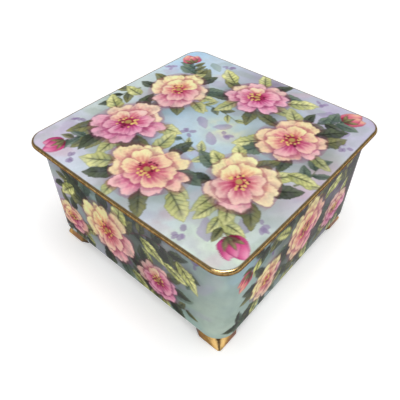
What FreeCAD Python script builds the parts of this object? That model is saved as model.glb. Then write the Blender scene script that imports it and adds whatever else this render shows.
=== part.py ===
"""Square porcelain keepsake box: a footed box body with a loose, gilt-edged lid.

Millimetres, +Z up. The origin is on the table, under the middle of the box.
The front wall faces -Y and the right wall faces +X.
"""
import FreeCAD
import Part
import math
import os
from FreeCAD import Vector

# Lid
LID_WIDTH = 127.0          # across the middles of two opposite sides
LID_BOW = 0.45             # how far each side swells outward at its middle
LID_CORNER_RADIUS = 9.5
LID_EDGE_HEIGHT = 2.8      # height of the rounded edge
LID_EDGE_DEPTH = 1.0       # how far the rounding of the edge reaches in
LID_CROWN = 1.2            # rise of the top from its edge to its middle
LID_CROWN_FLAT = 24.0      # half side of the level middle of the crown
GILT_THICKNESS = 0.4       # band of gilding round the edge, thicker than life

# Box body
RIM_HEIGHT = 65.0          # table to the top of the walls
LID_OVERHANG = 3.7         # middle of a lid side beyond the wall, at the rim
BODY_TAPER = 0.5           # each wall leans in by this much towards the base
BODY_CORNER_RADIUS = 10.4  # outside corner, at the rim
BODY_BASE_ROUND = 3.1      # rounding between the walls and the underside
BODY_WALL = 4.0
BODY_FLOOR = 4.5
CAVITY_ROUND = 4.0         # rounding between the inside walls and the floor
RIM_ROUND = 0.9            # softened edges of the rim

# Locating flange under the lid
FLANGE_CLEARANCE = 2.0     # play between the flange and the inside wall
FLANGE_WALL = 3.6
FLANGE_DEPTH = 5.6
FLANGE_ROUND = 1.0         # rounding of its lower edges
HOLLOW_LEAST_RADIUS = 1.0  # smallest corner inside the flange

# Bracket feet
FOOT_HEIGHT = 7.8          # table to the underside
FOOT_INSET = 1.9           # outer faces behind the base of the wall
FOOT_FACE = 12.5           # length of a leg's outer face
FOOT_LENGTH = 16.3         # length of a leg with its slanted end
FOOT_END_SET = 1.8         # how far the slanted end turns in
FOOT_WALL = 6.5            # thickness of a leg
FOOT_END_ROUND = 1.8       # rounding behind the slanted end
FOOT_INNER_ROUND = 3.0     # hollow between the two legs
FOOT_TIP_RADIUS = 1.6      # outer corner at the table
FOOT_TOP_RADIUS = 9.0      # outer corner above the knee
FOOT_KNEE_DROP = 1.8       # knee below the underside, where the corner is fully rounded
FOOT_SPLAY = 0.3           # outer faces lean out by this much at the table
FOOT_SOLE_EASE = 0.5       # worn edge between the sole and the outer faces

# Construction allowances
LAP = 3.0                  # overlap of solids that are joined into one piece
CROWN_SECTIONS = 5

UP = Vector(0, 0, 1)
ORIGIN = Vector(0, 0, 0)
QUARTER = math.pi / 2
LID_HALF = LID_WIDTH / 2
LID_TOP = RIM_HEIGHT + LID_EDGE_HEIGHT
BODY_HALF_RIM = LID_HALF - LID_OVERHANG
BODY_HALF_BASE = BODY_HALF_RIM - BODY_TAPER
FLOOR_HEIGHT = FOOT_HEIGHT + BODY_FLOOR


def in_plan(z):
    """Points (x, y) laid flat at a height."""
    return lambda x, y: Vector(x, y, z)


def in_section(offset, z):
    """Points (offset, height) of a section that is carried round an outline, positive offset outward."""
    return Vector(offset, 0, z)


def rounded_loop(corners, place):
    """Closed wire through (a, b, radius) corners, with a true arc wherever the radius is above zero."""
    spots = [place(a, b) for a, b, radius in corners]
    runs = []
    for i, (a, b, radius) in enumerate(corners):
        spot = spots[i]
        if radius <= 0:
            runs.append([spot])
            continue
        before = (spots[i - 1] - spot).normalize()
        after = (spots[(i + 1) % len(spots)] - spot).normalize()
        half_angle = before.getAngle(after) / 2
        reach = radius / math.tan(half_angle)
        inward = (before + after).normalize()
        nearest = inward * (radius / math.sin(half_angle) - radius)
        runs.append([spot + before * reach, spot + nearest, spot + after * reach])
    edges = []
    for run, following in zip(runs, runs[1:] + runs[:1]):
        if len(run) == 3:
            edges.append(Part.Arc(*run).toShape())
        edges.append(Part.LineSegment(run[-1], following[0]).toShape())
    return Part.Wire(edges)


def rounded_square(half, radius, z):
    corners = [(-half, -half, radius), (half, -half, radius), (half, half, radius), (-half, half, radius)]
    return rounded_loop(corners, in_plan(z))


def prism(wire, height):
    return Part.Face(wire).extrude(Vector(0, 0, height))


def edges_at(shape, z):
    """Edges that lie wholly at one height."""
    near = 1e-4
    return [e for e in shape.Edges if abs(e.BoundBox.ZMin - z) < near and abs(e.BoundBox.ZMax - z) < near]


def placed_section(face, outward, middle, reach):
    """A section face turned to look along an angle and set at a distance from a point."""
    section = face.copy()
    section.translate(Vector(reach, 0, 0))
    section.rotate(ORIGIN, UP, math.degrees(outward))
    section.translate(middle)
    return section


def turned(face, arc):
    """A section carried round one arc of an outline."""
    centre, radius, first, last = arc
    middle = Vector(centre[0], centre[1], 0)
    return placed_section(face, first, middle, radius).revolve(middle, UP, math.degrees(last - first))


def lid_arcs(inset=0.0):
    """The lid's outline as (centre, radius, first angle, last angle), anticlockwise from the front side.

    Each side is one very large arc, tangent to a small arc at either corner.
    """
    half_chord = LID_HALF - LID_CORNER_RADIUS
    side_radius = (half_chord ** 2 + LID_BOW ** 2) / (2 * LID_BOW)
    set_back = side_radius - LID_HALF
    reach = side_radius - LID_CORNER_RADIUS
    corner = (math.sqrt(2 * reach ** 2 - set_back ** 2) - set_back) / 2
    spread = math.atan2(corner, corner + set_back)
    arcs = []
    for turn in range(4):
        facing = (turn - 1) * QUARTER
        c, s = math.cos(turn * QUARTER), math.sin(turn * QUARTER)
        side_centre = (-s * set_back, c * set_back)
        corner_centre = (c * corner + s * corner, s * corner - c * corner)
        arcs.append((side_centre, side_radius - inset, facing - spread, facing + spread))
        arcs.append((corner_centre, LID_CORNER_RADIUS - inset, facing + spread, facing + QUARTER - spread))
    return arcs


def lid_outline(z, inset, scale=1.0):
    edges = []
    for centre, radius, first, last in lid_arcs(inset):
        points = []
        for angle in (first, (first + last) / 2, last):
            x, y = centre[0] + radius * math.cos(angle), centre[1] + radius * math.sin(angle)
            points.append(Vector(x * scale, y * scale, z))
        edges.append(Part.Arc(*points).toShape())
    return Part.Wire(edges)


def quarter_ellipse(start, corner, end):
    """Quarter of an ellipse inside the right angle at corner, from section points."""
    curve = Part.BezierCurve()
    curve.setPoles([in_section(*point) for point in (start, corner, end)])
    curve.setWeight(2, math.sqrt(0.5))
    return curve.toShape()


def section_lines(*points):
    spots = [in_section(*point) for point in points]
    return [Part.LineSegment(a, b).toShape() for a, b in zip(spots[:-1], spots[1:])]


def edge_nose(thickness):
    """Rounded nose of the lid's edge, set in by a thickness: its two quarters and its two ends."""
    low, high = RIM_HEIGHT + thickness, LID_TOP - thickness
    front, back = -thickness, -LID_EDGE_DEPTH
    middle = (front, (low + high) / 2)
    lower = quarter_ellipse((back, low), (front, low), middle)
    upper = quarter_ellipse(middle, (front, high), (back, high))
    return [lower, upper], (back, low), (back, high)


def sweep_round_lid(section):
    """Carry a closed section round the lid's whole outline."""
    face = Part.Face(Part.Wire(Part.__sortEdges__(section)))
    runs = [turned(face, arc) for arc in lid_arcs()]
    return runs[0].multiFuse(runs[1:]).removeSplitter()


def crown(outline, level_scale, z):
    """Low pillow that rises from an outline and levels off towards the middle."""
    wires = []
    for step in range(CROWN_SECTIONS):
        t = step / (CROWN_SECTIONS - 1)
        wires.append(outline(z + LID_CROWN * (1 - (1 - t) ** 2), 1 - t * (1 - level_scale)))
    return Part.makeLoft(wires, True, False)


def make_lid():
    """Crowned slab with a rounded edge, hollowed underneath inside its locating flange."""
    nose, low_end, high_end = edge_nose(GILT_THICKNESS)
    back = -LID_EDGE_DEPTH - LAP
    behind = section_lines(high_end, (-LID_EDGE_DEPTH, LID_TOP), (back, LID_TOP), (back, RIM_HEIGHT),
                           (-LID_EDGE_DEPTH, RIM_HEIGHT), low_end)
    edge = sweep_round_lid(nose + behind)
    slab = prism(lid_outline(RIM_HEIGHT, LID_EDGE_DEPTH + LAP / 2), LID_EDGE_HEIGHT)
    top_half = LID_HALF - LID_EDGE_DEPTH
    top = crown(lambda z, scale: lid_outline(z, LID_EDGE_DEPTH, scale), LID_CROWN_FLAT / top_half, LID_TOP)

    flange_half = BODY_HALF_RIM - BODY_WALL - FLANGE_CLEARANCE
    flange_radius = BODY_CORNER_RADIUS - BODY_WALL - FLANGE_CLEARANCE
    hollow_half = flange_half - FLANGE_WALL
    hollow_radius = max(flange_radius - FLANGE_WALL, HOLLOW_LEAST_RADIUS)
    low = RIM_HEIGHT - FLANGE_DEPTH
    flange = prism(rounded_square(flange_half, flange_radius, low), FLANGE_DEPTH)
    flange = flange.cut(prism(rounded_square(hollow_half, hollow_radius, low), FLANGE_DEPTH))
    flange = flange.makeFillet(FLANGE_ROUND, edges_at(flange, low))
    dish = crown(lambda z, scale: rounded_square(hollow_half * scale, hollow_radius * scale, z),
                 LID_CROWN_FLAT / hollow_half, RIM_HEIGHT)
    lid = edge.multiFuse([slab, top, flange]).removeSplitter()
    return lid.cut(dish).removeSplitter()


def make_gilt_band():
    """Skin of gilding let into the lid's edge, flush with the top and the underside."""
    outside, low_outside, high_outside = edge_nose(0.0)
    inside, low_inside, high_inside = edge_nose(GILT_THICKNESS)
    ends = section_lines(low_outside, low_inside) + section_lines(high_outside, high_inside)
    return sweep_round_lid(outside + inside + ends)


def sweep_round_body(corners, core_height):
    """Carry a wall section round the box and fill the middle up to a height above the underside.

    The section runs in as far as the centres of the corners, so the corners are whole wedges.
    """
    face = Part.Face(rounded_loop(corners, in_section))
    middle = BODY_HALF_RIM - BODY_CORNER_RADIUS
    core = Part.makeBox(2 * middle, 2 * middle, core_height, Vector(-middle, -middle, FOOT_HEIGHT))
    runs = []
    for turn in range(4):
        facing = (turn - 1) * QUARTER
        spin = FreeCAD.Rotation(UP, 90 * turn)
        start = spin.multVec(Vector(-middle, -middle, 0))
        end = spin.multVec(Vector(middle, -middle, 0))
        runs.append(placed_section(face, facing, start, BODY_CORNER_RADIUS).extrude(end - start))
        runs.append(turned(face, ((end.x, end.y), BODY_CORNER_RADIUS, facing, facing + QUARTER)))
    return core.multiFuse(runs).removeSplitter()


def make_body_block():
    """The outside of the box body, without its cavity."""
    return sweep_round_body([(-BODY_TAPER, FOOT_HEIGHT, BODY_BASE_ROUND), (0, RIM_HEIGHT, 0),
                             (-BODY_CORNER_RADIUS, RIM_HEIGHT, 0), (-BODY_CORNER_RADIUS, FOOT_HEIGHT, 0)],
                            RIM_HEIGHT - FOOT_HEIGHT)


def make_body():
    """Four leaning walls of even thickness, rounded into the floor inside and out."""
    lean = BODY_TAPER * (RIM_HEIGHT - FLOOR_HEIGHT) / (RIM_HEIGHT - FOOT_HEIGHT)
    return sweep_round_body([(-BODY_TAPER, FOOT_HEIGHT, BODY_BASE_ROUND), (0, RIM_HEIGHT, RIM_ROUND),
                             (-BODY_WALL, RIM_HEIGHT, RIM_ROUND), (-BODY_WALL - lean, FLOOR_HEIGHT, CAVITY_ROUND),
                             (-BODY_CORNER_RADIUS, FLOOR_HEIGHT, 0), (-BODY_CORNER_RADIUS, FOOT_HEIGHT, 0)],
                            BODY_FLOOR)


def foot_section(corner_radius, outset, z):
    """Plan of a bracket foot with its outer corner at the origin and its legs along +X and +Y."""
    leg = [(FOOT_FACE, -outset, 0), (FOOT_LENGTH, FOOT_END_SET, 0), (FOOT_LENGTH, FOOT_WALL, FOOT_END_ROUND)]
    other = [(y, x, radius) for x, y, radius in reversed(leg)]
    hollow = (FOOT_WALL, FOOT_WALL, FOOT_INNER_ROUND)
    return rounded_loop([(-outset, -outset, corner_radius)] + leg + [hollow] + other, in_plan(z))


def make_foot(block):
    """Bracket foot of the back right corner.

    Its outer corner is sharp at the table and opens up to the knee into the rounded corner of the
    box above, and its top is shaped to the rounded underside that it is luted to.
    """
    knee = FOOT_HEIGHT - FOOT_KNEE_DROP
    raised = FOOT_HEIGHT + BODY_BASE_ROUND / 2
    foot = Part.makeLoft([foot_section(FOOT_TIP_RADIUS, FOOT_SPLAY - FOOT_SOLE_EASE, 0.0),
                          foot_section(FOOT_TIP_RADIUS, FOOT_SPLAY, FOOT_SOLE_EASE),
                          foot_section(FOOT_TOP_RADIUS, 0.0, knee),
                          foot_section(FOOT_TOP_RADIUS, 0.0, raised)], True, True)
    corner = BODY_HALF_BASE - FOOT_INSET
    foot.rotate(ORIGIN, UP, 180)
    foot.translate(Vector(corner, corner, 0))
    return foot.cut(block)


def main():
    os.makedirs("parts", exist_ok=True)
    foot = make_foot(make_body_block())
    nodes = {"box_body": make_body(), "lid": make_lid(), "lid_gilt_band": make_gilt_band()}
    for turn, place in enumerate(("back_right", "back_left", "front_left", "front_right")):
        copy = foot.copy()
        copy.rotate(ORIGIN, UP, 90 * turn)
        nodes["foot_" + place] = copy
    for name, shape in nodes.items():
        solid = shape.Solids[0]
        print(name, "solids", len(shape.Solids), "valid", solid.isValid(), "faces", len(solid.Faces),
              "volume %.0f" % solid.Volume)
        solid.exportStep("parts/%s.step" % name)


main()
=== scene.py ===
"""Looks of a square porcelain keepsake box: painted and glazed porcelain, gilt lid edge and gilt feet.

Shapes and the painting are worked out in millimetres; meshes are made in metres, in the frame's axes.
"""
import math
import bpy
import numpy as np
from mathutils import Matrix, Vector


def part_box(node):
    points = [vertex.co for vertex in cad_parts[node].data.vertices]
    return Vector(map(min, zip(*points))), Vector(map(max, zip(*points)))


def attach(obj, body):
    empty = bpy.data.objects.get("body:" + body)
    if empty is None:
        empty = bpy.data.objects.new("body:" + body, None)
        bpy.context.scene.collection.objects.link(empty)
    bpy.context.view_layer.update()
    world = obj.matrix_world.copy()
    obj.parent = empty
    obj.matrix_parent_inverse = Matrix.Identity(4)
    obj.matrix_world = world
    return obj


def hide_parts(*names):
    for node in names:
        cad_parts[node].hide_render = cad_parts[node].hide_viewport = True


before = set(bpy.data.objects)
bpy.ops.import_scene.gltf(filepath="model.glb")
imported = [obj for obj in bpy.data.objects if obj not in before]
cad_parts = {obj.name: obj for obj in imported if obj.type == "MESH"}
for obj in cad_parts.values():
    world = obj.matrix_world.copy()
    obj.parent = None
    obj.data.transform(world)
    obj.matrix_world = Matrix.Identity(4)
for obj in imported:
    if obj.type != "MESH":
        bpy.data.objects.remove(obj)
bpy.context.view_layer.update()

MM = 0.001


def node_box(name):
    """Lowest and highest corner of a node, in millimetres."""
    return [np.array(corner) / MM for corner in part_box(name)]


band_low, band_high = node_box("lid_gilt_band")
lid_low, lid_high = node_box("lid")
body_low, body_high = node_box("box_body")
_, foot_high = node_box("foot_back_right")

# Lid
LID_HALF = band_high[0]
RIM = band_low[2]
LID_TOP = band_high[2]
LID_CROWN = lid_high[2] - LID_TOP
FLANGE_LOW = lid_low[2]
LID_BOW = 0.45
LID_CORNER = 9.5
EDGE_DEPTH = 1.0
LEVEL_HALF = 24.0
GILT = 0.4

# Box body
BODY_HALF = body_high[0]
UNDERSIDE = body_low[2]
BODY_CORNER = 10.4
TAPER = 0.5
BASE_ROUND = 3.1
WALL = 4.0
FLOOR_WALL = 4.5
FLOOR = UNDERSIDE + FLOOR_WALL
CAVITY_ROUND = 4.0
RIM_ROUND = 0.9
BASE_MARGIN = 1.0
FLANGE_GAP = 2.0
FLANGE_WALL = 3.6
FLANGE_ROUND = 1.0

# Feet
FOOT_CORNER = foot_high[0]
FOOT_SPLAY = 0.3
FOOT_FACE = 12.5
FOOT_LENGTH = 16.3
FOOT_END_SET = 1.8
FOOT_WALL = 6.5
FOOT_END_ROUND = 1.8
FOOT_INNER_ROUND = 3.0
FOOT_TIP_RADIUS = 1.6
FOOT_TOP_RADIUS = 9.0
FOOT_KNEE_DROP = 1.8
FOOT_CREASE = 0.8
FOOT_SOLE_EASE = 0.5
FOOT_SOLE_LEVELS = ((0.0, 1.0), (0.12, 0.35), (0.3, 0.08))  # height, and share of the ease left there
FOOT_SINK = 0.05  # how far the top reaches into the underside, to leave no gap
FOOT_CREASE_ANGLE = 30

# Mesh spacing, in cells along one side
LID_FINE = 270
LID_COARSE = 90
WALL_FINE = 180
WALL_COARSE = 60
BAND_CELLS = 130

# Rings over each form, and points along each stretch of a foot's plan
WALL_RINGS = 84
RIM_RINGS = 5
BASE_RINGS = 9
CAVITY_RINGS = 8
LID_EDGE_RINGS = 11
FLANGE_RINGS = 6
BAND_OUTER_RINGS = 17
BAND_INNER_RINGS = 7
FOOT_RINGS = 12
FOOT_SEAT_RINGS = 5
RIDGE_STEPS = 31
CORNER_STEPS = 7
LEG_STEPS = 8

QUARTER = math.pi / 2
TURN = 2 * math.pi


# Small helpers

def smooth(low, high, x):
    t = np.clip((x - low) / (high - low), 0.0, 1.0)
    return t * t * (3 - 2 * t)


def mix(a, b, share):
    share = np.asarray(share)[:, None]
    return a * (1 - share) + b * share


def tone(r, g, b):
    return np.array([r, g, b]) / 255.0


def to_linear(colour):
    return np.where(colour <= 0.04045, colour / 12.92, ((colour + 0.055) / 1.055) ** 2.4)


def full_colour(colour):
    """Linear colour with full cover, as a node's socket takes it."""
    return (*to_linear(colour), 1.0)


def new_object(name, data):
    """Object in the scene for a mesh, lamp or camera."""
    made = bpy.data.objects.new(name, data)
    bpy.context.scene.collection.objects.link(made)
    return made


OCTAVES = 3
WAVES = 6


def ripple(place, wavelength, seed):
    """Smooth field in space, of about unit height."""
    rng = np.random.default_rng(seed)
    total = np.zeros(len(place))
    power = 0.0
    for octave in range(OCTAVES):
        height = 0.55 ** octave
        for _ in range(WAVES):
            direction = rng.normal(size=3)
            direction /= np.linalg.norm(direction)
            length = wavelength * 0.5 ** octave * rng.uniform(0.7, 1.4)
            phase = place @ direction * (TURN / length) + rng.uniform(0, TURN)
            total += height * np.sin(phase)
            power += height ** 2 / 2
    return total / math.sqrt(power)


# Outlines: each gives the front side of a closed outline, a from -1 to 1 between the middles of its corners

def bent_side(a, straight, curve, set_back, corner_centre, corner_radius, spread, inset):
    """Side arc and two half corners, spaced evenly along their length."""
    corner_length = corner_radius * (math.pi / 4 - spread)
    s = a * (straight + corner_length)
    along = np.abs(s) <= straight
    turn = np.sign(s) * (spread + (np.abs(s) - straight) / corner_radius)
    angle = np.where(along, s / curve, turn)
    radius = np.where(along, curve, corner_radius) - inset
    x = np.where(along, 0.0, np.sign(s) * corner_centre) + radius * np.sin(angle)
    y = np.where(along, set_back, -corner_centre) - radius * np.cos(angle)
    return x, y


def lid_side(inset):
    """Bowed outline of the lid, moved inward."""
    half_chord = LID_HALF - LID_CORNER
    curve = (half_chord ** 2 + LID_BOW ** 2) / (2 * LID_BOW)
    set_back = curve - LID_HALF
    reach = curve - LID_CORNER
    corner = (math.sqrt(2 * reach ** 2 - set_back ** 2) - set_back) / 2
    spread = math.atan2(corner, corner + set_back)
    return lambda a: bent_side(a, curve * spread, curve, set_back, corner, LID_CORNER, spread, inset)


def square_side(half, radius):
    """Square outline with rounded corners."""
    straight = half - radius

    def side(a):
        s = a * (straight + radius * math.pi / 4)
        over = np.clip((np.abs(s) - straight) / radius, 0.0, math.pi / 4)
        x = np.sign(s) * (np.minimum(np.abs(s), straight) + radius * np.sin(over))
        return x, -straight - radius * np.cos(over)
    return side


def body_side(offset):
    """Outline of the box body, moved outward from the outer line of its rim."""
    return square_side(BODY_HALF + offset, BODY_CORNER + offset)


def turned(x, y, turns):
    """Points turned anticlockwise by quarter turns."""
    c, s = np.round(np.cos(turns * QUARTER)), np.round(np.sin(turns * QUARTER))
    return c * x - s * y, s * x + c * y


class Shell:
    """Closed skin of rings that run anticlockwise, from a patch that faces up to one that faces down."""

    def __init__(self):
        self.points = []
        self.faces = []
        self.total = 0

    def add(self, x, y, z):
        placed = np.column_stack(np.broadcast_arrays(x, y, z))
        self.points.append(placed)
        self.total += len(placed)
        return np.arange(self.total - len(placed), self.total)

    def ring(self, side, cells, z):
        turns = np.repeat(np.arange(4), cells)
        a = np.tile(np.arange(cells) * 2 / cells - 1, 4)
        return self.add(*turned(*side(a), turns), z)

    def join(self, upper, lower):
        """Faces between two rings, one of which may be finer by a whole number."""
        count = min(len(upper), len(lower))
        above, below = len(upper) // count, len(lower) // count
        for i in range(count):
            high = [upper[(i * above + k) % len(upper)] for k in range(above + 1)]
            low = [lower[(i * below + k) % len(lower)] for k in range(below + 1)]
            self.faces.append([*low, *reversed(high)])

    def chain(self, rings):
        for upper, lower in zip(rings[:-1], rings[1:]):
            self.join(upper, lower)

    def patch(self, side, cells, height, upward=True):
        """Square net of scaled outlines; height follows the scale. Returns its border and its points."""
        i, j = (grid.ravel() for grid in np.meshgrid(np.arange(cells + 1), np.arange(cells + 1)))
        u, v = 2 * i - cells, 2 * j - cells
        ring = np.maximum(np.abs(u), np.abs(v))
        turns = np.select([-v == ring, u == ring, v == ring], [0, 1, 2], 3)
        a = np.select([turns == 0, turns == 1, turns == 2], [u, v, -u], -v) / np.maximum(ring, 1)
        x, y = turned(*side(a), turns)
        t = ring / cells
        points = self.add(t * x, t * y, height(t))
        row = cells + 1
        for b in range(cells):
            for c in range(cells):
                first = points[0] + b * row + c
                loop = [first, first + 1, first + row + 1, first + row]
                self.faces.append(loop if upward else loop[::-1])
        net = points.reshape(row, row)
        border = np.concatenate([net[0, :-1], net[:-1, -1], net[-1, :0:-1], net[:0:-1, 0]])
        return border, points

    def mesh(self, name, crease=40):
        mesh = bpy.data.meshes.new(name)
        mesh.from_pydata(np.concatenate(self.points) * MM, [], self.faces)
        mesh.shade_smooth()
        mesh.set_sharp_from_angle(angle=math.radians(crease))
        return new_object(name, mesh)

    def places(self):
        return np.concatenate(self.points)


def value_points(made, name, values):
    layer = made.data.attributes.new(name, "FLOAT", "POINT")
    layer.data.foreach_set("value", np.asarray(values, np.float32))


def store_paint(made, colours, unglazed):
    """Store each point's colour, from screen values, and how far its clay shows."""
    layer = made.data.color_attributes.new("Paint", "FLOAT_COLOR", "POINT")
    full = np.ones((len(colours), 4))
    full[:, :3] = to_linear(np.clip(colours, 0, 1))
    layer.data.foreach_set("color", full.ravel())
    bare = np.zeros(len(colours))
    bare[unglazed] = BARE_SHARE
    value_points(made, "Bare", bare)


# Painting

WHITE_GLAZE = tone(241, 240, 234)
# dark brown of the gilt margin on the lid's top: a painted reflection of dim surroundings in its gold
GILT_MARGIN_PAINTED_REFLECTION = tone(112, 92, 62)
SKY = tone(180, 216, 244)
PALE_SKY = tone(220, 233, 243)
LILAC = tone(190, 176, 206)
PALE_LILAC = tone(212, 200, 222)
MAUVE = tone(122, 100, 128)
PLUM = tone(66, 48, 64)
MINT = tone(160, 190, 180)
PALE_MINT = tone(214, 228, 212)
CREAM_WASH = tone(236, 230, 186)
BLUSH = tone(226, 178, 190)
MOSS = tone(86, 92, 70)
FOREST = tone(48, 56, 48)

OLIVE_LEAF = {"light": tone(154, 152, 100), "dark": tone(76, 82, 56), "rib": tone(52, 54, 38)}
GREY_LEAF = {"light": tone(128, 146, 126), "dark": tone(66, 86, 74), "rib": tone(46, 62, 54)}
LEMON_LEAF = {"light": tone(250, 248, 176), "dark": tone(192, 196, 114), "rib": tone(66, 70, 44)}
DARK_LEAF = {"light": tone(98, 108, 84), "dark": tone(40, 48, 40), "rib": tone(30, 32, 28)}
GHOST_LEAF = {"light": tone(176, 160, 196), "dark": tone(142, 126, 168), "rib": tone(130, 112, 156)}
GHOST_SAGE = {"light": tone(160, 178, 164), "dark": tone(124, 146, 134), "rib": tone(110, 130, 120)}
STEM = tone(106, 56, 66)
GREEN_STEM = tone(100, 106, 68)
CREAM_BLOOM = {"deep": tone(180, 40, 80), "mid": tone(244, 184, 140), "tip": tone(255, 244, 186),
               "shade": tone(212, 118, 130), "line": tone(164, 72, 84)}
PINK_BLOOM = {"deep": tone(134, 12, 56), "mid": tone(218, 84, 142), "tip": tone(246, 184, 206),
              "shade": tone(170, 58, 114), "line": tone(130, 32, 80)}
ROSY_BLOOM = {"deep": tone(152, 22, 60), "mid": tone(232, 120, 144), "tip": tone(252, 222, 174),
              "shade": tone(190, 80, 112), "line": tone(144, 48, 76)}
EYE = tone(196, 184, 96)
POLLEN = tone(240, 214, 124)
FILAMENT = tone(104, 26, 50)
STAMENS = 26
SUNWARD = 2.2  # direction of the sunlit petals of every blossom


class Canvas:
    """Painted surface: two coordinates in millimetres for each point, and its colour so far."""

    def __init__(self, across, up, place, ground, wrap=None):
        self.across, self.up, self.wrap = across, up, wrap
        self.colour = np.tile(ground, (len(across), 1))
        self.fine = ripple(place, 5.0, 11)
        self.broad = ripple(place, 30.0, 12)

    def local(self, x, y, angle, reach):
        """Points within reach of a place, and how far they lie along an angle and to its left."""
        dx, dy = self.across - x, self.up - y
        if self.wrap:
            dx = (dx + self.wrap / 2) % self.wrap - self.wrap / 2
        near = np.flatnonzero((np.abs(dx) < reach) & (np.abs(dy) < reach))
        dx, dy = dx[near], dy[near]
        c, s = math.cos(angle), math.sin(angle)
        return near, c * dx + s * dy, c * dy - s * dx

    def lay(self, near, colour, cover):
        self.colour[near] = mix(self.colour[near], colour, np.clip(cover, 0, 1))

    def wash(self, x, y, long, wide, angle, colour, strength):
        """Soft cloud of colour with a wavering edge."""
        near, u, v = self.local(x, y, angle, 2.6 * max(long, wide))
        fall = (u / long) ** 2 + (v / wide) ** 2
        waver = 1 + 0.22 * self.broad[near] + 0.06 * self.fine[near]
        self.lay(near, colour, strength * np.exp(-fall * 1.2) * np.clip(waver, 0.2, 1.6))

    def vary(self):
        """Slight unevenness over the whole painting."""
        self.colour *= 1 + 0.012 * self.fine[:, None] + 0.012 * self.broad[:, None]

    def scumble(self, spots, colours, rng, cover):
        """Loose, soft brush marks over the washes."""
        for x, y in spots:
            long, wide = rng.uniform(5, 10), rng.uniform(2.5, 4.5)
            near, u, v = self.local(x, y, rng.normal(0.6, 0.5), 1.5 * long)
            fall = (u / long) ** 2 + (v / wide) ** 2 + 0.12 * self.fine[near]
            colour = colours[rng.integers(len(colours))]
            self.lay(near, colour, cover * rng.uniform(0.4, 1) * smooth(1.5, 0.1, fall))


def draw_leaf(canvas, x, y, angle, length, width, tones, cover=1.0, bend=0.0, ribs=True):
    near, u, v = canvas.local(x, y, angle, 1.2 * length)
    t = np.clip(u / length, 0, 1)
    v = v - bend * length * t * (1 - t)
    wave = canvas.fine[near]
    half = width / 2 * np.sin(math.pi * t ** 0.8) ** 0.85 * (1 + 0.08 * wave)
    edge = np.where((u > 0) & (u < length), half - np.abs(v), -1.0)
    lit = 0.12 + 0.45 * smooth(-0.2, 0.2, v / width) + 0.5 * smooth(0.1, 0.9, t) + 0.16 * wave
    colour = mix(tones["dark"], tones["light"], np.clip(lit, 0, 1))
    if ribs:
        saw = (t * 6.0 - np.abs(v) / width * 2.6) % 1.0
        vein = np.exp(-((saw - 0.5) / 0.15) ** 2) * smooth(0.5, 0.12, np.abs(v) / width)
        colour = mix(colour, tones["rib"], 0.5 * vein * smooth(1.0, 0.3, t))
        midrib = np.exp(-(v / 0.45) ** 2) * smooth(1.0, 0.5, t)
        colour = mix(colour, tones["rib"], 0.8 * midrib)
    colour = mix(colour, tones["rib"], 0.35 * np.exp(-(edge / 0.5) ** 2))
    canvas.lay(near, colour, smooth(-0.3, 0.45, edge) * cover * (0.9 + 0.1 * wave))


def draw_stem(canvas, points, thick, thin, colour, cover):
    """Curved stroke through four control points, tapering from thick to thin."""
    a, b, c, d = np.array(points, float)
    t = np.linspace(0, 1, 60)[:, None]
    line = (1 - t) ** 3 * a + 3 * t * (1 - t) ** 2 * b + 3 * t ** 2 * (1 - t) * c + t ** 3 * d
    middle = line.mean(0)
    near, u, v = canvas.local(*middle, 0.0, np.abs(line - middle).max() + 2)
    apart = np.hypot(u[:, None] - (line[:, 0] - middle[0]), v[:, None] - (line[:, 1] - middle[1]))
    width = thick + (thin - thick) * apart.argmin(1) / (len(line) - 1)
    inside = smooth(0.35, -0.3, apart.min(1) - width / 2)
    canvas.lay(near, colour, inside * cover * (0.85 + 0.15 * canvas.fine[near]))
    return line


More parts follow.
